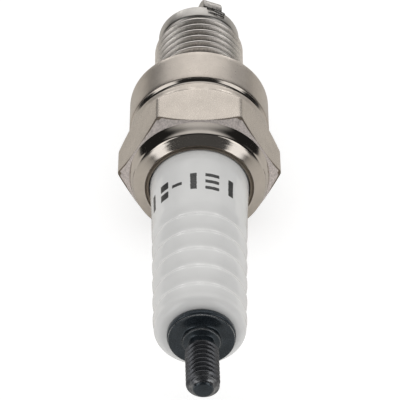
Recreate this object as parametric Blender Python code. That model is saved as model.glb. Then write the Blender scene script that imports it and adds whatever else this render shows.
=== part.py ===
"""A 12 mm motorcycle spark plug, lying on one flat of its hexagon.

The plug's axis is level and runs along Y: the terminal stud points to -Y and the electrodes to +Y.
Stations along the axis are millimetres from the gasket seat, positive towards the terminal.
The origin is on the surface that the plug lies on, halfway along the plug's length.
"""
import math

import bmesh
import bpy
from mathutils import Vector

MM = 0.001

# Driving dimensions, in millimetres.
HEX_ACROSS_FLATS = 18.0
CORNER_RADIUS = 10.27        # the hexagon's corners are turned down to this radius
OVERALL_LENGTH = 70.0
PROJECTION = 52.4            # gasket seat to the tip of the terminal stud
SHELL_END = -14.85           # the shell's end face, on the firing side
COLLAR_RADIUS = 8.98
COLLAR_LENGTH = 5.6
LAND_RADIUS = 8.95
NECK_RADIUS = 8.25
LIP_TOP = 16.85
CAVITY_RADIUS = 7.1          # the bore around the insulator's shoulder
FRONT_BORE_RADIUS = 4.15     # the bore inside the thread

SHELL_THREAD_RADIUS = 5.88   # M12 x 1.25
SHELL_THREAD_PITCH = 1.25
SHELL_THREAD_START = -12.54
SHELL_THREAD_LENGTH = 10.0
PILOT_RADIUS = 5.4

STUD_THREAD_RADIUS = 1.97    # M4 x 0.7
STUD_THREAD_PITCH = 0.7
STUD_THREAD_START = 45.6
STUD_THREAD_LENGTH = 6.6

NECK_OF_INSULATOR = 6.18     # radius where the insulator leaves the lip
INSULATOR_END = 43.1
INSULATOR_BORE = 2.05
NOSE_END = -14.4
NOSE_BORE = 1.3

RIB_COUNT = 5
RIB_PITCH = 3.05
FIRST_RIB = 28.5
RIB_DEPTH = 0.25
RIB_RADIUS_FIRST = 5.8
RIB_RADIUS_LAST = 5.55

ELECTRODE_RADIUS = 1.25
ELECTRODE_TIP = -15.6
SPARK_GAP = 0.7
STRAP_WIDTH = 2.6
STRAP_THICKNESS = 1.3
STRAP_CLOCK = 21.0           # degrees from straight up, towards +X
STRAP_FOOT_RADIUS = 4.75
FOOT_GAP = 0.1               # room for the strap to be bent at its foot

THREAD_DEPTH = 0.613         # of the pitch, for an outside metric thread
FIT = 0.05                   # clearance between pieces that touch on the real plug

ROUND_SIDES = 32             # the large turned pieces
SMALL_SIDES = 16             # pieces in the insulator's bore, and the stud

SEAT_Y = PROJECTION - OVERALL_LENGTH / 2
AXIS_HEIGHT = HEX_ACROSS_FLATS / 2


def clear_scene():
    for item in list(bpy.data.objects):
        bpy.data.objects.remove(item, do_unlink=True)


def material(name, color, roughness, metallic):
    made = bpy.data.materials.new(name)
    made.use_nodes = True
    shader = made.node_tree.nodes["Principled BSDF"]
    shader.inputs["Base Color"].default_value = (*color, 1.0)
    shader.inputs["Roughness"].default_value = roughness
    shader.inputs["Metallic"].default_value = metallic
    return made


def arc(centre, radius, start, end, steps):
    """Points (radius, station) on an arc, with angles in degrees from outward towards the terminal."""
    points = []
    for step in range(steps + 1):
        angle = math.radians(start + (end - start) * step / steps)
        points.append((centre[0] + radius * math.cos(angle), centre[1] + radius * math.sin(angle)))
    return points


def thread_rows(start, length, pitch, crest, run_in, run_out):
    """Rows of a right-hand thread: each row gives (radius, station) at a share of one turn."""
    root = crest - THREAD_DEPTH * pitch
    shape = ((0.0, 0.0), (0.25, 0.0), (0.5625, 1.0), (0.6875, 1.0))   # (share of pitch, share of depth)
    rows = []
    for turn in range(-1, math.ceil(length / pitch)):
        for share, height in shape:
            def row(part_turn, begin=(turn + share) * pitch, height=height):
                along = begin + part_turn * pitch
                if along <= 0 or along >= length:
                    return root, start + min(max(along, 0.0), length)
                taper = min(1.0, along / run_in, (length - along) / run_out)
                return root + height * taper * (crest - root), start + along
            rows.append(row)
    return rows + [(root, start + length)]


def lathe(name, profile, sides, closed):
    """Turn a profile of (radius, station) points or thread rows about local Z."""
    shape = bmesh.new()
    columns = []
    for side in range(sides + 1):
        part_turn = side / sides
        angle = 2 * math.pi * (side % sides) / sides
        column = []
        for point in profile:
            radius, station = point(part_turn) if callable(point) else point
            place = (radius * math.cos(angle), radius * math.sin(angle), station)
            column.append(shape.verts.new(Vector(place) * MM))
        columns.append(column)
    spans = len(profile) if closed else len(profile) - 1
    for near, far in zip(columns, columns[1:]):
        for low in range(spans):
            high = (low + 1) % len(profile)
            shape.faces.new((near[low], far[low], far[high], near[high]))
    bmesh.ops.remove_doubles(shape, verts=shape.verts, dist=1e-7)
    bmesh.ops.dissolve_degenerate(shape, edges=shape.edges, dist=1e-7)
    bmesh.ops.recalc_face_normals(shape, faces=shape.faces)
    mesh = bpy.data.meshes.new(name)
    shape.to_mesh(mesh)
    shape.free()
    return mesh


def add(name, mesh, finish, parent):
    mesh.materials.append(finish)
    mesh.shade_smooth()
    mesh.set_sharp_from_angle(angle=math.radians(35))
    piece = bpy.data.objects.new(name, mesh)
    bpy.context.scene.collection.objects.link(piece)
    piece.parent = parent
    return piece


def turned(name, profile, finish, parent, sides=ROUND_SIDES, closed=True):
    return add(name, lathe(name, profile, sides, closed), finish, parent)


def plug_axis():
    """An empty at the gasket seat: its Z runs towards the terminal and its Y points up."""
    axis = bpy.data.objects.new("plug_axis", None)
    bpy.context.scene.collection.objects.link(axis)
    axis.location = Vector((0, SEAT_Y, AXIS_HEIGHT)) * MM
    axis.rotation_euler = (math.pi / 2, 0, 0)
    return axis


def shell_outside():
    """From the end face up to the rolled lip's inner edge."""
    thread_root = SHELL_THREAD_RADIUS - THREAD_DEPTH * SHELL_THREAD_PITCH
    points = [(4.45, SHELL_END), (PILOT_RADIUS - 0.15, SHELL_END), (PILOT_RADIUS, SHELL_END + 0.15)]
    points += [(PILOT_RADIUS, SHELL_THREAD_START - 0.4), (thread_root, SHELL_THREAD_START - 0.2)]
    points += thread_rows(SHELL_THREAD_START, SHELL_THREAD_LENGTH, SHELL_THREAD_PITCH,
                          SHELL_THREAD_RADIUS, run_in=0.6, run_out=1.0)
    points += [(thread_root, -0.25), (thread_root + 0.25, 0.0)]
    points += [(COLLAR_RADIUS - 0.25, 0.0), (COLLAR_RADIUS, 0.25)]
    points += [(COLLAR_RADIUS, COLLAR_LENGTH - 0.2), (COLLAR_RADIUS - 0.2, COLLAR_LENGTH)]
    points += [(8.25, 5.66), (8.03, 5.85), (8.0, 6.3), (8.3, 6.62), (8.8, 6.7)]
    # A round land leads to the cone that chamfers the hexagon on the collar side.
    points += [(LAND_RADIUS, 6.85), (LAND_RADIUS, 7.9), (CORNER_RADIUS, 9.69)]
    points += [(CORNER_RADIUS, 13.56), (8.8, 14.45)]
    points += [(8.5, 14.52), (8.32, 14.67), (NECK_RADIUS, 14.95), (NECK_RADIUS, 15.55)]
    points += arc((7.55, 15.6), 0.7, 15, 75, 3)
    points += [(6.75, 16.72), (6.5, LIP_TOP), (6.32, 16.75)]
    return points


def shell_inside():
    """From the lip's inner edge back down the bore to the end face."""
    ledge_radius = 3.6
    points = [(6.32, 16.3)]
    points += arc((6.64, 15.45), 0.5, 95, 15, 3)
    points += [(CAVITY_RADIUS, 15.2), (CAVITY_RADIUS, 5.4), (FRONT_BORE_RADIUS, 3.0)]
    points += [(FRONT_BORE_RADIUS, -3.75), (ledge_radius, -4.3), (ledge_radius, -4.9)]
    points += [(4.2, -5.4), (4.2, SHELL_END + 0.25)]
    return points


def metal_shell(axis, finish):
    shell = turned("metal_shell", shell_outside() + shell_inside(), finish, axis)
    corner_radius = HEX_ACROSS_FLATS / 2 / math.cos(math.radians(30))
    prism = [(0, -30), (corner_radius, -30), (corner_radius, 30), (0, 30)]
    cutter = turned("hexagon_cutter", prism, finish, axis, sides=6, closed=False)
    cutter.hide_render = True
    cutter.display_type = "WIRE"
    cut = shell.modifiers.new("hexagon", "BOOLEAN")
    cut.operation = "INTERSECT"
    cut.solver = "EXACT"
    cut.object = cutter


def insulator_outside():
    points = [(NOSE_BORE, NOSE_END), (2.15, NOSE_END), (2.4, NOSE_END + 0.25)]
    points += [(3.3, -4.6), (3.5, -3.82), (4.05, -3.27), (4.05, 3.06)]
    points += [(7.0, 5.46), (7.0, 9.4), (6.6, 9.9), (NECK_OF_INSULATOR, 10.0)]
    points += [(NECK_OF_INSULATOR, 17.3), (6.06, 19.3), (5.93, 22.0), (5.86, 26.2)]
    samples = 4
    for index in range(-samples // 2, samples * (RIB_COUNT - 1) + samples // 2 + 1):
        wave = index / samples
        crest = RIB_RADIUS_FIRST + (RIB_RADIUS_LAST - RIB_RADIUS_FIRST) * wave / (RIB_COUNT - 1)
        dip = RIB_DEPTH * (1 - math.cos(2 * math.pi * wave)) / 2
        points.append((crest - dip, FIRST_RIB + wave * RIB_PITCH))
    points += arc((4.47, INSULATOR_END - 0.95), 0.95, 10, 90, 3)
    return points


def insulator_inside():
    return [(INSULATOR_BORE + 0.2, INSULATOR_END), (INSULATOR_BORE, INSULATOR_END - 0.2),
            (INSULATOR_BORE, -0.7), (NOSE_BORE, -1.45)]


def ceramic_insulator(axis, finish):
    turned("ceramic_insulator", insulator_outside() + insulator_inside(), finish, axis)


def terminal_stud(axis, finish):
    bore = INSULATOR_BORE - 0.1
    flange_radius = 4.03
    seat = INSULATOR_END + FIT
    thread_root = STUD_THREAD_RADIUS - THREAD_DEPTH * STUD_THREAD_PITCH
    thread_end = STUD_THREAD_START + STUD_THREAD_LENGTH
    points = [(0, 14.75), (1.15, 14.75), (1.4, 15.0), (1.4, 18.3), (bore, 18.9), (bore, seat)]
    points += [(flange_radius, seat), (flange_radius, 43.68), (3.9, 43.78), (3.9, 44.0), (3.75, 44.15)]
    points += [(3.4, 44.08), (2.45, 44.08), (2.2, 44.35), (2.2, 44.58), (2.05, 44.7)]
    points += [(thread_root, 44.8), (thread_root, STUD_THREAD_START - 0.1)]
    points += thread_rows(STUD_THREAD_START, STUD_THREAD_LENGTH, STUD_THREAD_PITCH,
                          STUD_THREAD_RADIUS, run_in=0.3, run_out=0.6)
    points += [(thread_root, thread_end + 0.1), (1.25, PROJECTION), (0, PROJECTION)]
    turned("terminal_stud", points, finish, axis, sides=SMALL_SIDES, closed=False)


def bore_fill(axis, glass, resistor):
    """The glass seals and the resistor between the terminal stud and the centre electrode."""
    radius = INSULATOR_BORE - FIT
    upper = [(0, 13.5), (radius, 13.5), (radius, 18.1), (1.5, 18.1), (1.5, 14.6), (0, 14.6)]
    core = [(0, 4.9), (radius, 4.9), (radius, 13.4), (0, 13.4)]
    lower = [(0, 1.4), (1.4, 1.4), (1.4, 0.55), (radius, 0.55), (radius, 4.8), (0, 4.8)]
    turned("upper_glass_seal", upper, glass, axis, sides=SMALL_SIDES, closed=False)
    turned("resistor_core", core, resistor, axis, sides=SMALL_SIDES, closed=False)
    turned("lower_glass_seal", lower, glass, axis, sides=SMALL_SIDES, closed=False)


def center_electrode(axis, nickel, copper):
    core_radius = 0.7
    core_tip = -12.6
    head = INSULATOR_BORE - FIT
    outside = [(0, ELECTRODE_TIP), (ELECTRODE_RADIUS - 0.1, ELECTRODE_TIP)]
    outside += [(ELECTRODE_RADIUS, ELECTRODE_TIP + 0.1), (ELECTRODE_RADIUS, -1.4)]
    outside += [(head, -0.6), (head, 0.45), (1.3, 0.45), (1.3, 1.3)]
    pocket = [(core_radius + FIT, 1.3), (core_radius + FIT, core_tip), (0, core_tip - core_radius)]
    turned("center_electrode", outside + pocket, nickel, axis, sides=SMALL_SIDES, closed=False)
    core = [(0, core_tip - core_radius + 2 * FIT), (core_radius, core_tip + FIT)]
    core += [(core_radius, 1.25), (0, 1.25)]
    turned("copper_core", core, copper, axis, sides=SMALL_SIDES, closed=False)


def packing(axis, steel, talc):
    """What seals the insulator into the shell: a conical washer, talc and two wire rings."""
    washer = [(3.66, -4.17), (4.08, -3.75), (4.08, -3.33), (3.66, -3.75)]
    turned("inner_seat_washer", washer, steel, axis)
    middle = (NECK_OF_INSULATOR + CAVITY_RADIUS) / 2
    wire = (CAVITY_RADIUS - NECK_OF_INSULATOR) / 2 - FIT
    for name, station in (("lower_packing_ring", 10.5), ("upper_packing_ring", 15.4)):
        turned(name, arc((middle, station), wire, 0, 315, 7), steel, axis)
    inner, outer = NECK_OF_INSULATOR + FIT, CAVITY_RADIUS - FIT
    ring = [(inner, 11.0), (outer, 11.0), (outer, 14.9), (inner, 14.9)]
    turned("talc_ring", ring, talc, axis)


def crush_gasket(axis, steel):
    """A steel band folded into a C that opens towards the thread. Its inner fold is caught by the thread."""
    caught, clear, outer = 5.65, 6.1, 7.7
    near, far = -0.06, -1.96
    band = 0.42
    bend_radius = (near - far) / 2
    bend = (outer - bend_radius, (near + far) / 2)
    outside = arc(bend, bend_radius, 90, -90, 6)
    inside = arc(bend, bend_radius - band, -90, 90, 4)
    section = [(caught, near)] + outside + [(clear, far), (clear, far + band)]
    section += inside + [(caught, near - band)]
    turned("crush_gasket", section, steel, axis)


def strap_outline():
    """The strap seen from its side, with X outward and Z towards the terminal, from its hinge."""
    half = STRAP_THICKNESS / 2
    bend = 1.3
    hinge = SHELL_END - FOOT_GAP / 2
    foot = -FOOT_GAP / 2
    arm = ELECTRODE_TIP - SPARK_GAP - half - hinge
    tip = -STRAP_FOOT_RADIUS - 1.1
    centre = (-bend, arm + bend)
    outer = arc(centre, bend + half, 0, -90, 6)
    inner = arc(centre, bend - half, -90, 0, 6)
    return [(half, foot)] + outer + [(tip, arm - half), (tip, arm + half)] + inner + [(-half, foot)]


def ground_electrode(axis, nickel):
    shape = bmesh.new()
    low = [shape.verts.new(Vector((x, -STRAP_WIDTH / 2, z)) * MM) for x, z in strap_outline()]
    side = shape.faces.new(low)
    grown = bmesh.ops.extrude_face_region(shape, geom=[side])
    moved = [item for item in grown["geom"] if isinstance(item, bmesh.types.BMVert)]
    bmesh.ops.translate(shape, verts=moved, vec=Vector((0, STRAP_WIDTH, 0)) * MM)
    bmesh.ops.recalc_face_normals(shape, faces=shape.faces)
    mesh = bpy.data.meshes.new("ground_electrode")
    shape.to_mesh(mesh)
    shape.free()
    strap = add("ground_electrode", mesh, nickel, axis)
    clock = math.radians(90 - STRAP_CLOCK)
    foot = Vector((STRAP_FOOT_RADIUS * math.cos(clock), STRAP_FOOT_RADIUS * math.sin(clock),
                   SHELL_END - FOOT_GAP / 2))
    strap.location = foot * MM
    strap.rotation_euler = (0, 0, clock)
    rounding = strap.modifiers.new("rounded edges", "BEVEL")
    rounding.width = 0.15 * MM
    rounding.segments = 2
    rounding.limit_method = "ANGLE"
    rounding.angle_limit = math.radians(50)


def build():
    clear_scene()
    nickel_plate = material("nickel_plated_steel", (0.56, 0.51, 0.46), 0.32, 1.0)
    alumina = material("glazed_alumina", (0.80, 0.80, 0.79), 0.12, 0.0)
    black_oxide = material("black_oxide_steel", (0.03, 0.034, 0.04), 0.35, 0.8)
    nickel_alloy = material("nickel_alloy", (0.48, 0.45, 0.42), 0.4, 1.0)
    copper = material("copper", (0.72, 0.35, 0.22), 0.35, 1.0)
    steel = material("plain_steel", (0.50, 0.50, 0.50), 0.4, 1.0)
    gasket_plate = material("plated_gasket_steel", (0.58, 0.56, 0.53), 0.35, 1.0)
    talc = material("pressed_talc", (0.75, 0.73, 0.68), 0.9, 0.0)
    glass = material("conductive_glass", (0.12, 0.12, 0.13), 0.3, 0.0)
    resistor = material("resistor_compound", (0.06, 0.06, 0.06), 0.7, 0.0)

    axis = plug_axis()
    metal_shell(axis, nickel_plate)
    ceramic_insulator(axis, alumina)
    terminal_stud(axis, black_oxide)
    bore_fill(axis, glass, resistor)
    center_electrode(axis, nickel_alloy, copper)
    packing(axis, steel, talc)
    crush_gasket(axis, gasket_plate)
    ground_electrode(axis, nickel_alloy)


build()
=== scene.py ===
"""The spark plug's looks: fine meshes, materials, light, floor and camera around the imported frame.

Lengths in the tables are millimetres. A station is a distance along the plug's axis from the gasket
seat, positive towards the terminal. An angle about the axis starts at +X and passes +Z after a quarter.
"""
import math

import bmesh
import bpy
import numpy as np
from mathutils import Matrix, Vector


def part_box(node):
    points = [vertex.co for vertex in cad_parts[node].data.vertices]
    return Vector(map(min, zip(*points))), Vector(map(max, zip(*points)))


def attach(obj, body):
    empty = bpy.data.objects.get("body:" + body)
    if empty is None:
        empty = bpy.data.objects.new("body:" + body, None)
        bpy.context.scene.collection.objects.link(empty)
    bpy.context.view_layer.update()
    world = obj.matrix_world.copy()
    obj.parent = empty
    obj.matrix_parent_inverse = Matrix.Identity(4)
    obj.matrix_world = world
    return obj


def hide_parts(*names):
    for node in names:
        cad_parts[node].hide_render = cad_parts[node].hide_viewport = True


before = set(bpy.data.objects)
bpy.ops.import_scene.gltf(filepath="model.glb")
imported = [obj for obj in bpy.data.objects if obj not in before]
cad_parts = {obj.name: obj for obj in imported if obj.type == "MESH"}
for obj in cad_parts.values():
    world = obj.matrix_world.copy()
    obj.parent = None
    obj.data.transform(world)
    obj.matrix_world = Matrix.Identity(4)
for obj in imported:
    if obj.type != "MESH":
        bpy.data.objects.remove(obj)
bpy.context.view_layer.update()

MM = 0.001
SHELL_END = -14.85
shell_low, shell_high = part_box("metal_shell")
SEAT_Y = shell_high.y / MM + SHELL_END
AXIS_Z = (shell_low.z + shell_high.z) / 2 / MM
TIP = SEAT_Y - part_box("terminal_stud")[0].y / MM          # station of the terminal's end face

HEX_APOTHEM = 9.0
CORNER_RADIUS = 10.27
COLLAR_RADIUS = 8.98
PILOT_RADIUS = 5.4
SHELL_THREAD = dict(start=-12.54, length=10.0, pitch=1.25, crest=5.88, run_in=0.6, run_out=1.0)
STUD_THREAD = dict(start=45.6, length=6.6, pitch=0.7, crest=1.97, run_in=0.3, run_out=0.4)
THREAD_DEPTH = 0.613      # share of the pitch
STUD_ASIDE = 0.16         # how far the stud stands off the axis, towards +X
STUD_LEAN = 0.02          # and how much farther with each millimetre of height
BLUNT_FROM = 51.4         # station where the stud's thread starts to be cut down to a cone
BLUNT_DEPTH = 0.3         # share of the radius cut away a millimetre further on

CORE_TIP = -15.6          # station of the centre electrode's end face
SPARK_GAP = 0.7
INSULATOR_END = 43.1
PRINT_RADIUS = 5.93       # the insulator's radius where it is printed
RIB_TOP = 28.5            # station of the first rib's crest
RIB_PITCH = 3.05
RIB_COUNT = 5
RIB_STEPS = 24            # profile points along one rib


# ---------------------------------------------------------------- turned meshes

def arc(centre, radius, start, end, steps):
    """Profile points on an arc, with angles in degrees from outward towards the terminal."""
    turns = np.radians(np.linspace(start, end, steps + 1))
    return [(centre[0] + radius * math.cos(a), centre[1] + radius * math.sin(a)) for a in turns]


def rounded(points, radius, steps=3):
    """The same open profile with each inner corner replaced by a small curve."""
    most = 0.45      # of a side that the curve may take up
    out = [points[0]]
    for before, corner, after in zip(points, points[1:], points[2:]):
        before, corner, after = (np.array(p, float) for p in (before, corner, after))
        to_before, to_after = before - corner, after - corner
        reach = min(radius, np.linalg.norm(to_before) * most, np.linalg.norm(to_after) * most)
        start = corner + to_before / np.linalg.norm(to_before) * reach
        end = corner + to_after / np.linalg.norm(to_after) * reach
        for step in range(steps + 1):
            s = step / steps
            out.append(tuple((1 - s) ** 2 * start + 2 * s * (1 - s) * corner + s * s * end))
    return out + [points[-1]]


def smooth_curve(points, steps):
    """A Catmull-Rom curve through profile points."""
    p = np.array([points[0]] + list(points) + [points[-1]], float)
    out = []
    for i in range(1, len(p) - 2):
        for step in range(steps):
            s = step / steps
            out.append(tuple(0.5 * (2 * p[i] + (p[i + 1] - p[i - 1]) * s
                                    + (2 * p[i - 1] - 5 * p[i] + 4 * p[i + 1] - p[i + 2]) * s ** 2
                                    + (3 * p[i] - p[i - 1] - 3 * p[i + 1] + p[i + 2]) * s ** 3)))
    return out + [tuple(p[-1])]


def thread_rows(columns, start, length, pitch, crest, run_in, run_out):
    """Rows of a right-hand thread with rounded roots and crests, cut shallower at both ends."""
    # One turn's profile: share of the pitch, and share of the height from root to crest.
    shape = [(0.0, 0.10), (0.045, 0.03), (0.125, 0.0), (0.205, 0.03), (0.25, 0.10), (0.33, 0.33),
             (0.45, 0.70), (0.53, 0.93), (0.555, 0.985), (0.59, 1.0), (0.66, 1.0), (0.695, 0.985),
             (0.72, 0.93), (0.80, 0.70), (0.92, 0.33)]
    root = crest - THREAD_DEPTH * pitch
    part_turn = columns / (2 * math.pi)
    rows = []
    for turn in range(-1, math.ceil(length / pitch)):
        for share, height in shape:
            along = (turn + share + part_turn) * pitch
            inside = (along > 0) & (along < length)
            taper = np.minimum(1.0, np.minimum(along / run_in, (length - along) / run_out))
            radius = np.where(inside, root + height * np.clip(taper, 0, 1) * (crest - root), root)
            rows.append((radius, start + np.clip(along, 0, length)))
    return rows + [(root, start + length)]


def revolve(name, bands, columns, closed, lean=None):
    """A turned piece.

    bands is a list of (material index, rows). A row is a radius and a station, and each of them is a
    number or an array over the columns.
    """
    rows, marks = [], []
    for mark, part in bands:
        rows += part
        marks += [mark] * len(part)
    width = len(columns)
    radius = np.array([np.broadcast_to(r, width) for r, _ in rows], float)
    station = np.array([np.broadcast_to(s, width) for _, s in rows], float)
    points = np.stack([radius * np.cos(columns), SEAT_Y - station, AXIS_Z + radius * np.sin(columns)], -1)
    if lean:
        points[..., 0] += lean(station)
    height = len(rows)
    index = np.arange(height * width).reshape(height, width)
    low = index if closed else index[:-1]
    high = np.roll(index, -1, axis=0) if closed else index[1:]
    faces = np.stack([low[:, :-1], low[:, 1:], high[:, 1:], high[:, :-1]], -1).reshape(-1, 4)
    mesh = bpy.data.meshes.new(name)
    mesh.from_pydata((points.reshape(-1, 3) * MM).tolist(), [], faces.tolist())
    mesh.polygons.foreach_set("material_index", np.repeat(marks[:len(low)], width - 1).astype(np.int32))
    return finish_mesh(mesh)


def finish_mesh(mesh, sharp=40):
    """Joins coincident points, turns the normals outward and shades smooth up to an angle in degrees."""
    coincident = 2e-8
    shape = bmesh.new()
    shape.from_mesh(mesh)
    bmesh.ops.remove_doubles(shape, verts=shape.verts, dist=coincident)
    bmesh.ops.dissolve_degenerate(shape, edges=shape.edges, dist=coincident)
    bmesh.ops.recalc_face_normals(shape, faces=shape.faces)
    shape.to_mesh(mesh)
    shape.free()
    mesh.shade_smooth()
    mesh.set_sharp_from_angle(angle=math.radians(sharp))
    return mesh


def piece(name, mesh, materials, body, slot, *nodes):
    """Adds a mesh that rides on a body and stands for CAD nodes; slot is not used."""
    for made in materials:
        mesh.materials.append(made)
    item = bpy.data.objects.new(name, mesh)
    bpy.context.scene.collection.objects.link(item)
    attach(item, body)
    if nodes:
        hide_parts(*nodes)


def even_columns(count):
    """Angles round the axis, with the last one on top of the first."""
    return np.linspace(0, 2 * math.pi, count + 1)


# ---------------------------------------------------------------- the metal shell

def hexagon_columns():
    """Angles with extra columns at the hexagon's corners, which are at 0, 60 ... degrees."""
    sector = np.concatenate([[0.0, 0.5, 1.0, 1.5, 2.1, 2.8], np.linspace(3.6, 56.4, 34),
                             [57.2, 57.9, 58.5, 59.0, 59.5]])
    return np.radians(np.concatenate([sector + 60 * k for k in range(6)] + [[360.0]]))


def hexagon_radius(columns):
    """Distance from the axis to a hexagon whose corners are rounded off."""
    round_off = (HEX_APOTHEM / math.cos(math.pi / 6) - CORNER_RADIUS) / (1 / math.cos(math.pi / 6) - 1)
    from_flat = np.abs((np.degrees(columns) % 60) - 30)
    a = np.radians(from_flat)
    flat = HEX_APOTHEM / np.cos(a)
    centre = (HEX_APOTHEM - round_off) / math.cos(math.pi / 6)
    away = math.pi / 6 - a
    beyond = np.sqrt(np.maximum(round_off ** 2 - (centre * np.sin(away)) ** 2, 0))
    tangent = math.atan2((HEX_APOTHEM - round_off) * math.tan(math.pi / 6), HEX_APOTHEM)
    return np.where(a > tangent, centre * np.cos(away) + beyond, flat)


def hexagon_rows(columns):
    """The cone on the collar side, the flats, and the chamfer on the terminal side."""
    reach = hexagon_radius(columns)
    land, land_end = 8.95, 7.9
    shoulder, shoulder_at = 8.8, 14.45
    cone = 1.356          # station gained per millimetre of radius, on the collar side
    chamfer = 0.605       # and on the terminal side
    far = land_end + (reach - land) * cone
    near = shoulder_at - (reach - shoulder) * chamfer
    ease = 0.07           # the cone rounds into the flats over this much radius
    cone_rows = [(land + (reach - ease - land) * s, land_end + (far - ease * cone - land_end) * s)
                 for s in (0.08, 0.3, 0.55, 0.8, 1.0)]
    cone_rows += [(reach - ease * 0.42, far - ease * cone * 0.36), (reach - ease * 0.1, far + ease * 0.45)]
    flat_rows = [(reach, far + (near - far) * s) for s in (0.03, 0.12, 0.3, 0.5, 0.7, 0.88)]
    flat_rows += [(reach, near - 0.12), (reach, near - 0.03)]
    # The chamfer was sheared: it starts a little below the flat's edge, with a nick at each corner.
    from_corner = 30 - np.abs((np.degrees(columns) % 60) - 30)
    nick = 0.24 * np.exp(-(from_corner / 1.4) ** 2)
    step = np.clip((reach - shoulder - 0.23) / 0.5, 0, 1) * 0.15 + nick
    low = np.maximum(reach - step, shoulder - 0.02)
    # Painted shadow: these step rows take the dark cut-edge finish, which draws a thin dark line under each
    # flat's edge and in the nicks.
    nick_shadow_rows = [(reach - 0.02, near + 0.01), (low + 0.3 * (reach - low), near + 0.02), (low, near + 0.02)]
    chamfer_rows = [(low + (shoulder - low) * s, near + 0.02 + (shoulder_at - near - 0.02) * s)
                     for s in (0.05, 0.12, 0.25, 0.5, 0.75, 0.96)]
    return cone_rows, flat_rows, nick_shadow_rows, chamfer_rows


# The shell's materials, in the order in which shell_materials makes them.
SATIN, FLATS, THREAD, POLISHED, END_FACE, CUT_EDGE_AND_SHADOW_LINE, BORE, PILOT = range(8)


def shell_mesh():
    """Bands from the electrode end to the rolled lip, and back through the bore."""
    columns = hexagon_columns()
    root = SHELL_THREAD["crest"] - THREAD_DEPTH * SHELL_THREAD["pitch"]
    pilot = rounded([(4.45, SHELL_END), (PILOT_RADIUS, SHELL_END), (PILOT_RADIUS, -12.94), (root, -12.74)],
                    0.16)
    relief = rounded([(root, -2.5), (root, 0.0), (COLLAR_RADIUS, 0.0), (COLLAR_RADIUS, 2.0)], 0.25)[1:-1]
    collar = [(COLLAR_RADIUS, s) for s in (0.8, 2.0, 3.4, 4.8)]
    collar_edge = rounded([(COLLAR_RADIUS, 4.8), (COLLAR_RADIUS, 5.44), (8.76, 5.6)], 0.08, 3)[1:-1]
    groove = smooth_curve([(8.86, 5.53), (8.76, 5.60), (8.68, 5.67), (8.59, 5.74), (8.52, 5.85),
                           (8.50, 6.0), (8.51, 6.2), (8.58, 6.42), (8.73, 6.58)], 3)
    land = rounded([(8.73, 6.58), (8.95, 6.68), (8.95, 7.9)], 0.12)[1:-1] + [(8.95, 7.3), (8.95, 7.9)]
    cone_rows, flat_rows, nick_shadow_rows, chamfer_rows = hexagon_rows(columns)
    neck = smooth_curve([(8.83, 14.48), (8.76, 14.68), (8.68, 14.90), (8.59, 15.12), (8.49, 15.34),
                         (8.41, 15.52), (8.36, 15.66), (8.33, 15.79), (8.30, 15.92), (8.23, 16.05),
                         (8.06, 16.16), (7.7, 16.31), (7.35, 16.47), (7.0, 16.63), (6.88, 16.69)], 4)
    cut = rounded([(6.88, 16.68), (6.8, 16.66), (6.74, 16.54), (6.66, 16.6), (6.52, 16.8), (6.4, 16.84),
                   (6.32, 16.72), (6.32, 16.3)], 0.05)[1:]
    inside = [(6.32, 16.2)] + arc((6.64, 15.45), 0.5, 95, 15, 6) + [(7.1, 15.2), (7.1, 5.4), (4.15, 3.0)]
    inside += [(4.15, -3.75), (3.6, -4.3), (3.6, -4.9), (4.2, -5.4), (4.2, SHELL_END + 0.25)]
    bands = [(PILOT, pilot), (THREAD, thread_rows(columns, **SHELL_THREAD)), (SATIN, relief),
             (SATIN, collar + collar_edge), (POLISHED, groove), (SATIN, land + cone_rows),
             (FLATS, flat_rows), (CUT_EDGE_AND_SHADOW_LINE, nick_shadow_rows), (END_FACE, chamfer_rows), (POLISHED, neck),
             (CUT_EDGE_AND_SHADOW_LINE, cut), (BORE, inside)]
    return revolve("shell", bands, columns, closed=True)


# ---------------------------------------------------------------- the insulator

def insulator_mesh():
    """One glazed body: firing nose, seat, shoulder, neck, five ribs, rounded end and stepped bore."""
    end = INSULATOR_END
    outside = [(1.3, -14.4), (2.0, -14.4)] + arc((2.05, -14.12), 0.28, -80, -5, 5)
    outside += [(3.3, -4.6), (3.5, -3.82), (4.05, -3.27), (4.05, 3.06), (7.0, 5.46), (7.0, 9.4)]
    outside += [(6.6, 9.9), (6.18, 10.0)]
    neck = smooth_curve([(6.18, 12.0), (6.18, 16.0), (6.17, 17.3), (6.07, 19.3), (5.94, 22.0),
                         (5.88, 24.4), (5.86, 25.6)], 4)
    # One rib, from crest to crest, as shares of the pitch and dips below the crest: a slow fall, then a
    # tighter turn up to the next crest.
    wave = [(0.0, 0.0), (0.12, 0.01), (0.24, 0.045), (0.36, 0.11), (0.47, 0.19), (0.56, 0.27),
            (0.63, 0.315), (0.69, 0.325), (0.75, 0.295), (0.82, 0.20), (0.89, 0.09), (0.95, 0.022)]
    gaps = RIB_COUNT - 1
    run_on = 9      # profile points before the first crest and after the last one
    first_crest, narrowing = 5.8, 0.25
    shares, dips = zip(*[(share + turn, dip) for turn in range(-1, gaps + 1) for share, dip in wave])
    ribs = []
    for index in range(-run_on, RIB_STEPS * gaps + run_on):
        share = index / RIB_STEPS
        crest = first_crest - narrowing * share / gaps
        ribs.append((crest - float(np.interp(share, shares, dips)), RIB_TOP + share * RIB_PITCH))
    lead_in = [(5.85, 25.95), (5.80, 26.35), (5.71, 26.7), (5.62, 27.0)]
    ribs = smooth_curve(lead_in + ribs[::2], 2)
    round_end = 0.95
    tip = [(5.38, 42.0)] + arc((4.47, end - round_end), round_end, 8, 90, 12)
    inside = [(2.25, end), (2.05, end - 0.2), (2.05, -0.7), (1.3, -1.45)]
    bands = [(0, outside + neck + ribs + tip + inside)]
    return revolve("insulator", bands, even_columns(160), closed=True)


# ---------------------------------------------------------------- terminal, electrodes, gasket

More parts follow.
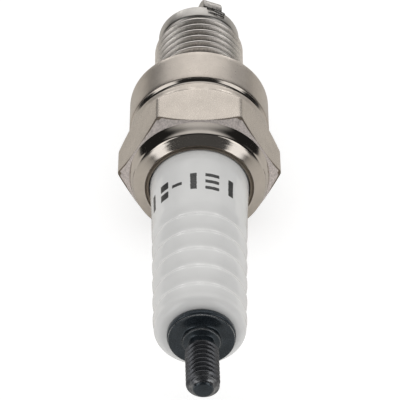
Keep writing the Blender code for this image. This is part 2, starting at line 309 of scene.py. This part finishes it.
def terminal_mesh():
    """The stud from its shank's lower end to its tip; the profile starts and ends on the axis."""
    columns = even_columns(96)
    seat = INSULATOR_END + 0.05
    root = STUD_THREAD["crest"] - THREAD_DEPTH * STUD_THREAD["pitch"]
    end = STUD_THREAD["start"] + STUD_THREAD["length"]
    shank = [(0, 14.75), (1.15, 14.75), (1.4, 15.0), (1.4, 18.3), (1.95, 18.9), (1.95, seat), (3.7, seat)]
    flange = rounded([(3.7, seat), (4.03, seat), (4.03, 43.7), (3.9, 43.76), (3.88, 43.86), (3.94, 44.0),
                      (3.85, 44.15), (3.5, 44.14)], 0.05, 2)[1:-1]
    face = smooth_curve([(3.5, 44.13), (3.2, 44.09), (2.8, 44.07), (2.5, 44.1), (2.32, 44.2),
                         (2.23, 44.4)], 3)
    boss = rounded([(2.23, 44.4), (2.2, 44.62), (2.0, 44.68), (root, 44.85), (root, 45.5)], 0.08)[1:]

    def lead_in(station):
        """The thread's end is cut down to a blunt cone, so that a nut starts easily."""
        return 1 - BLUNT_DEPTH * np.clip(station - BLUNT_FROM, 0, 1) ** 1.4

    thread = [(radius * lead_in(station), station)
              for radius, station in thread_rows(columns, **STUD_THREAD)]
    point = root * lead_in(end)
    tip = [(point, end + 0.02)]
    tip += rounded([(point, end + 0.04), (1.0, TIP), (0.4, TIP)], 0.08)[1:-1] + [(0, TIP)]

    def lean(station):
        """The pressed-in stud stands a little off the axis, and leans a little more towards its tip."""
        return np.where(station > seat - 0.01, STUD_ASIDE + STUD_LEAN * (station - seat), 0.0)

    bands = [(0, shank + flange + face + boss), (1, thread), (0, tip)]
    return revolve("terminal", bands, columns, closed=False, lean=lean)


def gasket_mesh():
    """A band of sheet folded round into a hollow ring that is open towards the thread."""
    caught, clear, outer = 5.65, 6.1, 7.7      # radii of the two inner edges and of the outside
    near, far, band = -0.06, -1.96, 0.42       # stations of the two faces, and the sheet's thickness
    bend = (near - far) / 2
    centre = (outer - bend, (near + far) / 2)
    inner = arc(centre, bend - band, -90, 90, 12)
    section = [(caught + 0.05, near)] + arc(centre, bend, 90, -90, 18)
    section += [(clear + 0.05, far), (clear, far + 0.06)]
    section += [(clear, far + band - 0.06), (clear + 0.05, far + band)]
    section += inner + [(caught + 0.05, near - band), (caught, near - band + 0.06), (caught, near - 0.06)]
    return revolve("gasket", [(0, section)], even_columns(144), closed=True)


def electrode_mesh():
    """The centre electrode's sheath, with the hollow for its copper core."""
    tip, edge = CORE_TIP, 0.15
    outside = [(0, tip)] + arc((1.1, tip + edge), edge, -90, 0, 4)
    outside += [(1.25, -14.9), (1.25, -8.0), (1.25, -1.4)]
    outside += [(2.0, -0.6), (2.0, 0.45), (1.3, 0.45), (1.3, 1.3), (0.75, 1.3), (0.75, -12.6), (0, -13.3)]
    return revolve("center_electrode_tip", [(0, outside)], even_columns(64), closed=False)


# clock is in degrees from +Z towards +X, foot is the distance of the bar's middle from the axis, bend is
# the radius of its centre line, and gap is the clearance under its foot.
STRAP = dict(width=2.6, thickness=1.3, clock=21.0, foot=4.75, bend=1.3, gap=0.1)


def strap_place():
    """From the strap's own space (X outward, Z towards the terminal) to the row frame's directions, and
    the middle of its foot in millimetres."""
    turn = math.radians(90 - STRAP["clock"])
    outward = Vector((math.cos(turn), 0, math.sin(turn)))
    across = Vector((-math.sin(turn), 0, math.cos(turn)))
    along = Vector((0, -1, 0))
    foot = Vector((0, SEAT_Y - (SHELL_END - STRAP["gap"] / 2), AXIS_Z)) + outward * STRAP["foot"]
    return Matrix((outward, across, along)).transposed(), foot


def strap_mesh():
    """A bar with rounded edges swept along the strap's centre line."""
    half, wide, bend = STRAP["thickness"] / 2, STRAP["width"] / 2, STRAP["bend"]
    arm = CORE_TIP - SPARK_GAP - half - (SHELL_END - STRAP["gap"] / 2)
    path = [(0.0, -STRAP["gap"] / 2, 0.0), (0.0, -0.12, 0.0)]      # out, along, and the angle turned
    bend_steps = 16
    for step in range(bend_steps + 1):
        a = math.radians(90 * step / bend_steps)
        path.append((-bend + bend * math.cos(a), arm + bend - bend * math.sin(a), a))
    tip = -STRAP["foot"] - 1.1
    for s in (0.15, 0.4, 0.7, 0.92, 1.0):
        path.append((-bend + (tip + bend) * s, arm, math.pi / 2))
    corner = 0.18
    section = []
    for sx, sy, start in ((1, 1, 0), (-1, 1, 90), (-1, -1, 180), (1, -1, 270)):
        for step in range(5):
            a = math.radians(start + 22.5 * step)
            section.append((sx * (half - corner) + corner * math.cos(a),
                            sy * (wide - corner) + corner * math.sin(a)))
    turn, foot = strap_place()
    rings = []
    count = len(path)
    end_sizes = {0: 0.96, count - 1: 0.93}
    for i, (x, z, a) in enumerate(path):
        shrink = end_sizes.get(i, 1.0)
        ring = []
        for u, v in section:
            local = Vector((x + u * shrink * math.cos(a), v * shrink, z - u * shrink * math.sin(a)))
            ring.append((foot + turn @ local) * MM)
        rings.append(ring)
    size = len(section)
    points = [p for ring in rings for p in ring]
    faces = [tuple(range(size)), tuple((count - 1) * size + k for k in reversed(range(size)))]
    for i in range(count - 1):
        for k in range(size):
            n = (k + 1) % size
            faces.append((i * size + k, (i + 1) * size + k, (i + 1) * size + n, i * size + n))
    mesh = bpy.data.meshes.new("strap")
    mesh.from_pydata(points, [], faces)
    return finish_mesh(mesh, sharp=50)


def weld_mesh():
    """The flash squeezed out of the strap's weld: an uneven tongue that lies on the shell's pilot."""
    around, along = 40, 26
    low, high = -14.80, -13.45      # stations of its ends
    middle, half = math.radians(STRAP["clock"] + 5.0), math.radians(14.5)
    # u runs along the tongue from 0 at the shell's end face to 1, and v across it from -1 to 1.
    top, under = [], []
    for i in range(along + 1):
        u = i / along
        for j in range(around + 1):
            v = 2 * j / around - 1
            edge = (1 - v ** 8) * (1 - (2 * u - 1) ** 8)
            ridge = 0.16 * math.exp(-((u - 0.20 - 0.07 * v) / 0.10) ** 2)
            heel = 0.10 * math.exp(-((u - 0.78 - 0.05 * v) / 0.15) ** 2)
            hollow = 0.20 * math.exp(-((u - 0.52) / 0.17) ** 2 - ((v + 0.75) / 0.30) ** 2)
            trough = 0.10 * math.exp(-((u - 0.42 - 0.07 * v) / 0.08) ** 2)
            ripple = 0.012 * math.sin(9 * v + 4 * u) * math.cos(7 * u - 3 * v)
            height = max((0.16 + ridge + heel - hollow - trough + ripple) * max(edge, 0.0) ** 0.5, 0.0)
            turn = middle + half * v * (1 - 0.10 * u + 0.03 * math.sin(7 * u))
            station = low + (high - low) * u + 0.09 * math.sin(4 * v + 1) * u
            for points, radius in ((top, PILOT_RADIUS - 0.03 + height), (under, PILOT_RADIUS - 0.12)):
                points.append((radius * math.sin(turn), SEAT_Y - station, AXIS_Z + radius * math.cos(turn)))
    width, count = around + 1, len(top)
    faces = []
    for i in range(along):
        for j in range(around):
            a, b, c, d = i * width + j, i * width + j + 1, (i + 1) * width + j + 1, (i + 1) * width + j
            faces += [(a, b, c, d), (d + count, c + count, b + count, a + count)]
    rim = list(range(width))
    rim += [i * width + around for i in range(1, along + 1)]
    rim += [along * width + j for j in range(around - 1, -1, -1)]
    rim += [i * width for i in range(along - 1, 0, -1)]
    faces += [(a, a + count, b + count, b) for a, b in zip(rim, rim[1:] + rim[:1])]
    mesh = bpy.data.meshes.new("weld")
    mesh.from_pydata((np.array(top + under) * MM).tolist(), [], faces)
    return finish_mesh(mesh, sharp=60)


# ---------------------------------------------------------------- materials

class Nodes:
    """Short calls for building one material's node tree."""

    def __init__(self, name):
        self.material = bpy.data.materials.new(name)
        self.material.use_nodes = True
        self.tree = self.material.node_tree
        self.shader = self.tree.nodes["Principled BSDF"]

    def add(self, kind, inputs=(), **settings):
        """A node with its settings; inputs are values, or sockets to link."""
        node = self.tree.nodes.new("ShaderNode" + kind)
        for key, value in settings.items():
            setattr(node, key, value)
        for key, value in dict(inputs).items():
            self.put(node.inputs[key], value)
        return node

    def put(self, socket, value):
        if isinstance(value, bpy.types.NodeSocket):
            self.tree.links.new(value, socket)
        else:
            socket.default_value = value

    def math(self, operation, *values):
        return self.add("Math", dict(enumerate(values)), operation=operation).outputs[0]

    def position(self):
        """Millimetres from the plug's axis at the gasket seat: x, up and station."""
        here = self.add("TexCoord").outputs["Object"]
        split = self.add("SeparateXYZ", {0: here}).outputs
        x = self.math("MULTIPLY", split[0], 1 / MM)
        up = self.math("MULTIPLY_ADD", split[2], 1 / MM, -AXIS_Z)
        station = self.math("MULTIPLY_ADD", split[1], -1 / MM, SEAT_Y)
        return x, up, station

    def radius(self, x, up):
        return self.math("SQRT", self.math("MULTIPLY_ADD", x, x, self.math("MULTIPLY", up, up)))

    def combine(self, x, y, z):
        return self.add("CombineXYZ", {0: x, 1: y, 2: z}).outputs[0]

    def noise(self, vector, scale, detail=2.0, rough=0.5):
        return self.add("TexNoise", {"Vector": vector, "Scale": scale, "Detail": detail,
                                     "Roughness": rough}).outputs["Fac"]

    def span(self, value, low, high, to_low=0.0, to_high=1.0):
        """From to_low at low to to_high at high, in a straight line and held beyond both."""
        return self.add("MapRange", {0: value, 1: low, 2: high, 3: to_low, 4: to_high}).outputs[0]

    def soft_span(self, value, low, high, to_high=1.0):
        """From nothing at low to to_high at high, with an eased start and end."""
        node = self.add("MapRange", {0: value, 1: low, 2: high, 3: 0.0, 4: to_high},
                        interpolation_type="SMOOTHSTEP")
        return node.outputs[0]

    def mix(self, share, first, second):
        node = self.add("Mix", data_type="RGBA")
        for socket, value in zip((node.inputs[0], node.inputs[6], node.inputs[7]), (share, first, second)):
            self.put(socket, value)
        return node.outputs[2]

    def bump(self, *layers):
        """Layers of (height, distance in millimetres), stacked."""
        normal = None
        for height, distance in layers:
            node = self.add("Bump", {"Height": height, "Distance": distance * MM, "Strength": 1.0})
            if normal:
                self.tree.links.new(normal, node.inputs["Normal"])
            normal = node.outputs[0]
        self.put(self.shader.inputs["Normal"], normal)

    def set(self, **values):
        names = {"color": "Base Color", "rough": "Roughness", "metal": "Metallic", "ior": "IOR",
                 "coat": "Coat Weight", "coat_rough": "Coat Roughness", "specular": "Specular IOR Level"}
        for key, value in values.items():
            if isinstance(value, tuple) and len(value) == 3:
                value = (*value, 1.0)
            self.put(self.shader.inputs[names[key]], value)


def shade(color, factor):
    return tuple(c * factor for c in color) + (1.0,)


NICKEL = (0.60, 0.545, 0.49)
GRIME = (0.16, 0.13, 0.10, 1.0)
ROOT_STAIN_AND_SHADE = (0.15, 0.136, 0.123, 1.0)
INK = (0.008, 0.0085, 0.009, 1.0)
BARE_STEEL_AND_HIGHLIGHT = (0.42, 0.43, 0.44, 1.0)


def plated_metal(name, color, rough, grain, grain_height=0.0012, speck=0.35, dirt=0.0, roots=None,
                 metal=1.0, contrast=0.06):
    """Nickel plate over steel.

    grain scales the fine noise round the axis and along it, in cells per millimetre. speck is the share
    of the specks in the plate's tone, against its clouds. roots is the radii between which a thread goes
    from stained and darkened with painted shade at its roots to clean at its crests.
    """
    n = Nodes(name)
    x, up, station = n.position()
    radius = n.radius(x, up)
    around = n.math("MULTIPLY", n.math("ARCTAN2", x, up), radius)
    here = n.combine(x, station, up)
    cells_around = n.math("MULTIPLY", around, grain[0])
    cells_along = n.math("MULTIPLY", station, grain[1])
    fine = n.noise(n.combine(cells_around, cells_along, radius), 1.0, 3.0, 0.6)
    cloud = n.noise(here, 0.35, 3.0, 0.6)
    specks = n.noise(here, 5.0, 2.0, 0.6)
    tone = n.span(n.math("MULTIPLY_ADD", specks, speck, n.math("MULTIPLY", cloud, 1 - speck)), 0.3, 0.7)
    base = n.mix(tone, shade(color, 1 - contrast), shade(color, 1 + contrast))
    if dirt:
        base = n.mix(n.math("MULTIPLY", n.span(cloud, 0.45, 0.75), dirt), base, GRIME)
    # Painted shade with some stain: the thread goes darker towards its roots, where shade falls.
    if roots:
        uneven = n.math("MULTIPLY_ADD", n.math("SUBTRACT", specks, 0.5), 0.5, radius)
        base = n.mix(n.span(uneven, *roots, 0.86, 0.0), base, ROOT_STAIN_AND_SHADE)
    wear = n.math("MULTIPLY_ADD", fine, 0.6, n.math("MULTIPLY", specks, 0.4))
    n.set(color=base, metal=metal, rough=n.span(wear, 0.3, 0.7, rough - 0.05, rough + 0.07))
    n.bump((fine, grain_height), (specks, 0.0012))
    return n.material


def shell_materials():
    """One for each index in the list that ends with PILOT."""
    return [
        plated_metal("nickel_satin", NICKEL, 0.30, grain=(5.0, 0.6), grain_height=0.002, contrast=0.12),
        plated_metal("nickel_flats", NICKEL, 0.27, grain=(7.0, 0.5), contrast=0.11),
        plated_metal("nickel_thread", (0.90, 0.86, 0.82), 0.34, grain=(0.4, 12.0), grain_height=0.003,
                     dirt=0.3, roots=(5.32, 5.80)),
        plated_metal("nickel_polished", (0.66, 0.61, 0.56), 0.09, grain=(0.3, 12.0), grain_height=0.0004,
                     speck=0.2, dirt=0.2),
        plated_metal("nickel_sheared", (0.66, 0.60, 0.575), 0.50, grain=(6.0, 6.0), grain_height=0.03,
                     speck=0.9, metal=0.5, contrast=0.25),
        # The lip's cut edge; the same dark finish also paints the shadow line under the hexagon's flats.
        plated_metal("lip_cut_edge_and_shadow_line", (0.29, 0.25, 0.21), 0.50, grain=(6.0, 6.0), grain_height=0.01,
                     dirt=0.4),
        plated_metal("nickel_bore", shade(NICKEL, 0.8)[:3], 0.4, grain=(0.4, 6.0), dirt=0.3),
        plated_metal("nickel_pilot", (0.565, 0.545, 0.52), 0.32, grain=(4.0, 0.8), grain_height=0.003,
                     contrast=0.12),
    ]


# A row of plain bars and dashes where such a plug has printing: the angle of the middle in degrees from
# the top, its station, the width round the insulator and the height along it.
PRINT = [
    (40.0, 22.3, 0.75, 2.9),
    (15.5, 21.15, 1.75, 0.56),
    (15.5, 22.3, 1.75, 0.56),
    (15.5, 23.45, 1.75, 0.56),
    (-7.0, 22.3, 0.8, 2.9),
    (-27.6, 22.3, 1.35, 0.55),
    (-46.0, 21.5, 1.3, 1.2),
    (-46.0, 23.2, 1.3, 1.2),
    (-68.0, 22.3, 0.7, 2.9),
]


def glazed_alumina():
    """White glaze with faint clouds and a few dark pinholes, and the print under it."""
    n = Nodes("glazed_alumina_printed")
    x, up, station = n.position()
    here = n.combine(x, station, up)
    cloud = n.noise(here, 0.25, 2.0, 0.5)
    base = n.mix(n.span(cloud, 0.35, 0.65), (0.76, 0.76, 0.755, 1.0), (0.80, 0.80, 0.795, 1.0))
    pinholes = n.math("MULTIPLY", n.span(n.noise(here, 9.0, 1.0), 0.74, 0.80), 0.25)
    base = n.mix(pinholes, base, (0.25, 0.24, 0.22, 1.0))
    wobble = n.math("MULTIPLY_ADD", n.noise(here, 3.5, 2.0), 0.12, -0.06)
    around = n.math("MULTIPLY", n.math("ARCTAN2", x, up), PRINT_RADIUS)
    ink = None
    for degrees, at, width, height in PRINT:
        middle = math.radians(degrees) * PRINT_RADIUS
        off_around = n.math("ABSOLUTE", n.math("SUBTRACT", around, middle))
        off_along = n.math("ABSOLUTE", n.math("SUBTRACT", station, at))
        outside = n.math("SMOOTH_MAX", n.math("SUBTRACT", off_around, width / 2),
                         n.math("SUBTRACT", off_along, height / 2), 0.12)
        ink = outside if ink is None else n.math("MINIMUM", ink, outside)
    printed = n.span(n.math("ADD", ink, wobble), 0.03, -0.03)
    thin = n.span(n.noise(here, 6.0, 3.0, 0.7), 0.35, 0.6, 0.93, 1.0)
    base = n.mix(n.math("MULTIPLY", printed, thin), base, INK)
    rough = n.math("MULTIPLY_ADD", printed, 0.25, n.span(cloud, 0.3, 0.7, 0.06, 0.09))
    n.set(color=base, rough=rough, ior=1.6)
    n.bump((n.noise(here, 0.9, 2.0), 0.012), (n.noise(here, 4.0, 1.0), 0.0015))
    return n.material


# Radius and station of the painted highlight rings: the flange's rim and the boss's edge.
HIGHLIGHT_RINGS = [(3.94, 44.03), (2.22, 44.55)]


def black_oxide(name, tint, rough):
    """Oxide with painted highlight rings on the flange's rim and on the boss's edge, and rubbed to bare
    steel near the stud's end.
    """
    n = Nodes(name)
    x, up, station = n.position()
    angle = n.math("ARCTAN2", x, up)
    radius = n.radius(n.math("SUBTRACT", x, STUD_ASIDE), up)
    here = n.combine(x, station, up)
    cloud = n.noise(here, 0.8, 3.0, 0.6)
    specks = n.noise(here, 8.0, 2.0)
    lines = n.math("MULTIPLY", n.math("ADD", radius, station), 9.0)
    turning = n.noise(n.combine(n.math("MULTIPLY", angle, 0.6), lines, 0.0), 1.0, 2.0)
    base = n.mix(n.span(cloud, 0.35, 0.65), shade(tint, 0.85), shade(tint, 1.25))
    wear = None
    # Painted highlights: bright rings of bare-steel colour on the flange's rim and the boss's edge.
    for ring, at in HIGHLIGHT_RINGS:
        near = n.math("ADD", n.math("ABSOLUTE", n.math("SUBTRACT", radius, ring)),
                      n.math("ABSOLUTE", n.math("SUBTRACT", station, at)))
        highlit = n.span(near, 0.20, 0.05)
        wear = highlit if wear is None else n.math("MAXIMUM", wear, highlit)
    near_end = n.span(station, BLUNT_FROM - 0.5, BLUNT_FROM + 0.5)
    scuffed = n.math("MULTIPLY", near_end, n.span(cloud, 0.42, 0.6))
    scuffed = n.math("MULTIPLY", scuffed, n.span(station, TIP - 0.1, TIP - 0.4))
    # The painted highlight rings are joined with the real scuffs near the stud's end.
    wear = n.math("MULTIPLY", n.math("MAXIMUM", wear, scuffed), n.span(specks, 0.35, 0.6, 0.35, 0.8))
    base = n.mix(wear, base, BARE_STEEL_AND_HIGHLIGHT)
    n.set(color=base, metal=0.78, ior=1.6, coat=0.4, coat_rough=0.14,
          rough=n.span(specks, 0.3, 0.7, rough - 0.05, rough + 0.07))
    n.bump((turning, 0.003), (specks, 0.002))
    return n.material


def plain_surface(name, color, rough, metal, cells=4.0, height=0.004, contrast=0.12):
    """A worked surface with a fine grain: fired compound, pressed powder, wire or drawn metal."""
    n = Nodes(name)
    x, up, station = n.position()
    here = n.combine(x, station, up)
    grain = n.noise(here, cells, 3.0, 0.6)
    base = n.mix(n.span(grain, 0.3, 0.7), shade(color, 1 - contrast), shade(color, 1 + contrast))
    n.set(color=base, metal=metal, rough=n.span(grain, 0.3, 0.7, max(rough - 0.06, 0.02), rough + 0.06))
    n.bump((grain, height))
    return n.material


# ---------------------------------------------------------------- the plug

def build_plug():
    """Seven visible pieces in place of six CAD nodes, and finishes for the eight nodes sealed inside."""
    nickel = shell_materials()
    oxide = [black_oxide("black_oxide_turned", (0.042, 0.054, 0.066), 0.26),
             black_oxide("black_oxide_thread", (0.082, 0.085, 0.094), 0.24)]
    alloy = plain_surface("nickel_alloy_drawn", (0.46, 0.44, 0.42), 0.34, 1.0,
                          cells=2.2, height=0.02, contrast=0.3)
    flash = plain_surface("weld_flash", (0.50, 0.48, 0.46), 0.28, 1.0,
                          cells=2.5, height=0.012, contrast=0.3)
    gasket = plain_surface("gasket_plate", (0.60, 0.57, 0.53), 0.30, 1.0, cells=2.5, height=0.003)
    piece("shell_body", shell_mesh(), nickel, "plug_body", "nickel_plated_steel", "metal_shell")
    glaze = glazed_alumina()
    piece("insulator_body", insulator_mesh(), [glaze], "plug_body", "glazed_alumina", "ceramic_insulator")
    piece("terminal_body", terminal_mesh(), oxide, "plug_body", "black_oxide_steel", "terminal_stud")
    core = electrode_mesh()
    piece("center_electrode_body", core, [alloy], "plug_body", "nickel_alloy", "center_electrode")
    piece("strap_body", strap_mesh(), [alloy], "strap", "nickel_alloy", "ground_electrode")
    piece("weld_flash_body", weld_mesh(), [flash], "plug_body", "nickel_alloy")
    piece("gasket_body", gasket_mesh(), [gasket], "gasket", "plated_gasket_steel", "crush_gasket")
    inner = {
        "upper_glass_seal": plain_surface("sealing_glass", (0.10, 0.10, 0.11), 0.25, 0.0),
        "resistor_core": plain_surface("resistor_mix", (0.06, 0.06, 0.06), 0.7, 0.0,
                                       cells=6.0, height=0.01),
        "copper_core": plain_surface("core_copper", (0.72, 0.35, 0.22), 0.32, 1.0),
        "talc_ring": plain_surface("talc", (0.75, 0.73, 0.68), 0.9, 0.0, cells=7.0, height=0.01),
        "inner_seat_washer": plain_surface("washer_steel", (0.50, 0.50, 0.50), 0.38, 1.0),
    }
    inner["lower_glass_seal"] = inner["upper_glass_seal"]
    inner["lower_packing_ring"] = inner["upper_packing_ring"] = inner["inner_seat_washer"]
    for node, finish in inner.items():
        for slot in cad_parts[node].material_slots:
            slot.material = finish


# ---------------------------------------------------------------- floor, light, camera

def stage_plane(name, height):
    """A square plane, centred under the plug."""
    half = 3.0
    corners = [(-half, -half, 0), (half, -half, 0), (half, half, 0), (-half, half, 0)]
    mesh = bpy.data.meshes.new(name)
    mesh.from_pydata(corners, [], [(0, 1, 2, 3)])
    plane = bpy.data.objects.new(name, mesh)
    bpy.context.scene.collection.objects.link(plane)
    plane.location.z = height
    return plane


def seen_only(item, **seen):
    """Hides an item from every kind of ray but those named."""
    for ray in ("camera", "diffuse", "glossy", "transmission", "volume_scatter", "shadow"):
        setattr(item, "visible_" + ray, seen.get(ray, False))


def stage_dome(name, radius):
    """A sphere round the plug and the camera."""
    mesh = bpy.data.meshes.new(name)
    shape = bmesh.new()
    bmesh.ops.create_icosphere(shape, subdivisions=4, radius=radius)
    shape.to_mesh(mesh)
    shape.free()
    dome = bpy.data.objects.new(name, mesh)
    bpy.context.scene.collection.objects.link(dome)
    return dome


def glowing(name, color, glow, matte=(0.0, 0.0, 0.0)):
    """The nodes of a surface that glows, over a matt color."""
    n = Nodes(name)
    n.set(color=matte, rough=0.9, specular=0.0)
    n.put(n.shader.inputs["Emission Color"], (*color, 1.0))
    n.put(n.shader.inputs["Emission Strength"], glow)
    return n


# The two pools of light on the table, one on each side of the camera.
POOL_AIM = (0.485, -0.875)      # direction from the plug's middle: across, and along +Y
POOL_EDGE = (0.982, 0.998)      # cosines where a pool of light starts and is full
POOL_START = (0.04, 0.09)       # metres from the plug's middle
POOL_GLOW = 1.2


def build_floor():
    """A pale floor and backdrop, and over the floor the duller table that only gloss mirrors, with painted
    shade towards the camera's side.
    """
    floor = stage_plane("floor", -0.00004)
    floor.data.materials.append(glowing("pale_floor", (1.0, 1.0, 1.0), 0.70, (0.48, 0.48, 0.48)).material)
    seen_only(floor, camera=True, diffuse=True, shadow=True)
    table = stage_plane("table", -0.00002)
    n = glowing("table_top", (1.0, 1.0, 1.0), 0.0)
    here = n.add("TexCoord").outputs["Object"]
    distance = n.add("VectorMath", {0: here}, operation="LENGTH").outputs["Value"]
    x, y, _ = n.add("SeparateXYZ", {0: here}).outputs
    # Painted shade: the table goes dark towards the camera's side.
    front = n.soft_span(n.math("SUBTRACT", distance, y), 0.02, 0.20)
    n.set(color=n.mix(front, (0.80, 0.775, 0.735, 1.0), (0.06, 0.06, 0.06, 1.0)))
    across = n.math("MULTIPLY", n.math("ABSOLUTE", x), POOL_AIM[0])
    cosine = n.math("DIVIDE", n.math("MULTIPLY_ADD", y, POOL_AIM[1], across), distance)
    pool = n.soft_span(cosine, *POOL_EDGE)
    glow = n.math("MULTIPLY", pool, n.span(distance, *POOL_START, 0.0, POOL_GLOW))
    n.put(n.shader.inputs["Emission Strength"], glow)
    table.data.materials.append(n.material)
    seen_only(table, glossy=True)
    backdrop = stage_dome("backdrop", 2.9)
    backdrop.data.materials.append(glowing("pale_backdrop", (1.0, 1.0, 1.0), 1.0).material)
    seen_only(backdrop, camera=True)


# Soft lights that only the gloss mirrors, in a dark studio: direction, cosines where the light starts and
# is full, and brightness.
STUDIO = [
    ((0.0, 1.0, 0.05), 0.70, 0.90, 0.65),       # the white screen behind the plug
    ((-0.38, 0.90, 0.20), 0.994, 0.997, 2.2),   # three small boxes in front of the screen
    ((0.0, 0.97, 0.22), 0.994, 0.997, 2.2),
    ((0.34, 0.91, 0.20), 0.994, 0.997, 2.2),
    ((0.0, 0.57, 0.82), 0.66, 0.97, 0.70),      # the overhead box
    ((-0.59, -0.80, 0.06), 0.975, 0.990, 1.3),  # a low and a high box on each side of the camera
    ((-0.60, -0.69, 0.41), 0.955, 0.985, 1.1),
    ((0.56, -0.83, 0.07), 0.975, 0.990, 1.3),
    ((0.57, -0.71, 0.41), 0.955, 0.985, 1.1),
    ((0.66, 0.74, 0.12), 0.950, 0.990, 0.2),    # a weak one on the right, behind
    ((0.0, -1.0, 0.15), 0.85, 0.97, 0.06),      # the dim room behind the camera
]
ROOM = 0.018
# The soft light that matt surfaces get: from all round, how much more from above, and from behind.
SKY_ROUND, SKY_ABOVE, SKY_BEHIND = 0.48, 0.48, 0.27


def build_studio():
    """The dome of soft lights that only glossy reflections see."""
    dome = stage_dome("studio", 2.4)
    n = glowing("studio_lights", (1.0, 0.99, 0.975), 0.0)
    here = n.add("TexCoord").outputs["Object"]
    direction = n.add("VectorMath", {0: here}, operation="NORMALIZE").outputs[0]
    light = ROOM
    for aim, edge, full, strength in STUDIO:
        toward = {0: direction, 1: Vector(aim).normalized()}
        cosine = n.add("VectorMath", toward, operation="DOT_PRODUCT").outputs["Value"]
        light = n.math("ADD", light, n.soft_span(cosine, edge, full, strength))
    n.put(n.shader.inputs["Emission Strength"], light)
    dome.data.materials.append(n.material)
    seen_only(dome, glossy=True)


def build_world():
    """A sky for matt surfaces; no gloss mirrors it."""
    world = bpy.data.worlds.new("sky")
    bpy.context.scene.world = world
    world.use_nodes = True
    world.cycles_visibility.glossy = False
    tree = world.node_tree
    toward = tree.nodes.new("ShaderNodeSeparateXYZ")
    tree.links.new(tree.nodes.new("ShaderNodeTexCoord").outputs["Generated"], toward.inputs[0])
    share = tree.nodes.new("ShaderNodeMapRange")
    share.interpolation_type = "SMOOTHSTEP"
    span = (0.2, 0.95, SKY_ROUND, SKY_ROUND + SKY_ABOVE)
    for socket, value in zip(list(share.inputs)[1:5], span):
        socket.default_value = value
    tree.links.new(toward.outputs["Z"], share.inputs[0])
    behind = tree.nodes.new("ShaderNodeMath")
    behind.operation = "MULTIPLY_ADD"
    behind.inputs[1].default_value = SKY_BEHIND
    tree.links.new(toward.outputs["Y"], behind.inputs[0])
    tree.links.new(share.outputs[0], behind.inputs[2])
    tree.links.new(behind.outputs[0], tree.nodes["Background"].inputs["Strength"])
    tree.nodes["Background"].inputs["Color"].default_value = (1.0, 0.995, 0.985, 1.0)


def build_camera():
    """The photograph's view: from the terminal's side, 40 degrees above the axis."""
    tilt = math.radians(40.116)
    distance, drop, aside = 303.11, 12.187, 0.065      # from the gasket seat on the plug's axis
    forward = Vector((0, math.cos(tilt), -math.sin(tilt)))
    up = Vector((0, math.sin(tilt), math.cos(tilt)))
    data = bpy.data.cameras.new("camera")
    data.lens = 209.26
    data.sensor_width = 36.0
    data.clip_start, data.clip_end = 0.01, 20.0
    camera = bpy.data.objects.new("camera", data)
    bpy.context.scene.collection.objects.link(camera)
    camera.location = (Vector((aside, SEAT_Y, AXIS_Z)) - forward * distance - up * drop) * MM
    roll = Matrix.Rotation(math.radians(-0.23), 3, "Z")      # about the camera's own axis
    camera.rotation_euler = (Matrix.Rotation(math.pi / 2 - tilt, 3, "X") @ roll).to_euler()
    bpy.context.scene.camera = camera


build_plug()
build_floor()
build_studio()
build_world()
build_camera()
bpy.context.scene.view_settings.view_transform = "Standard"
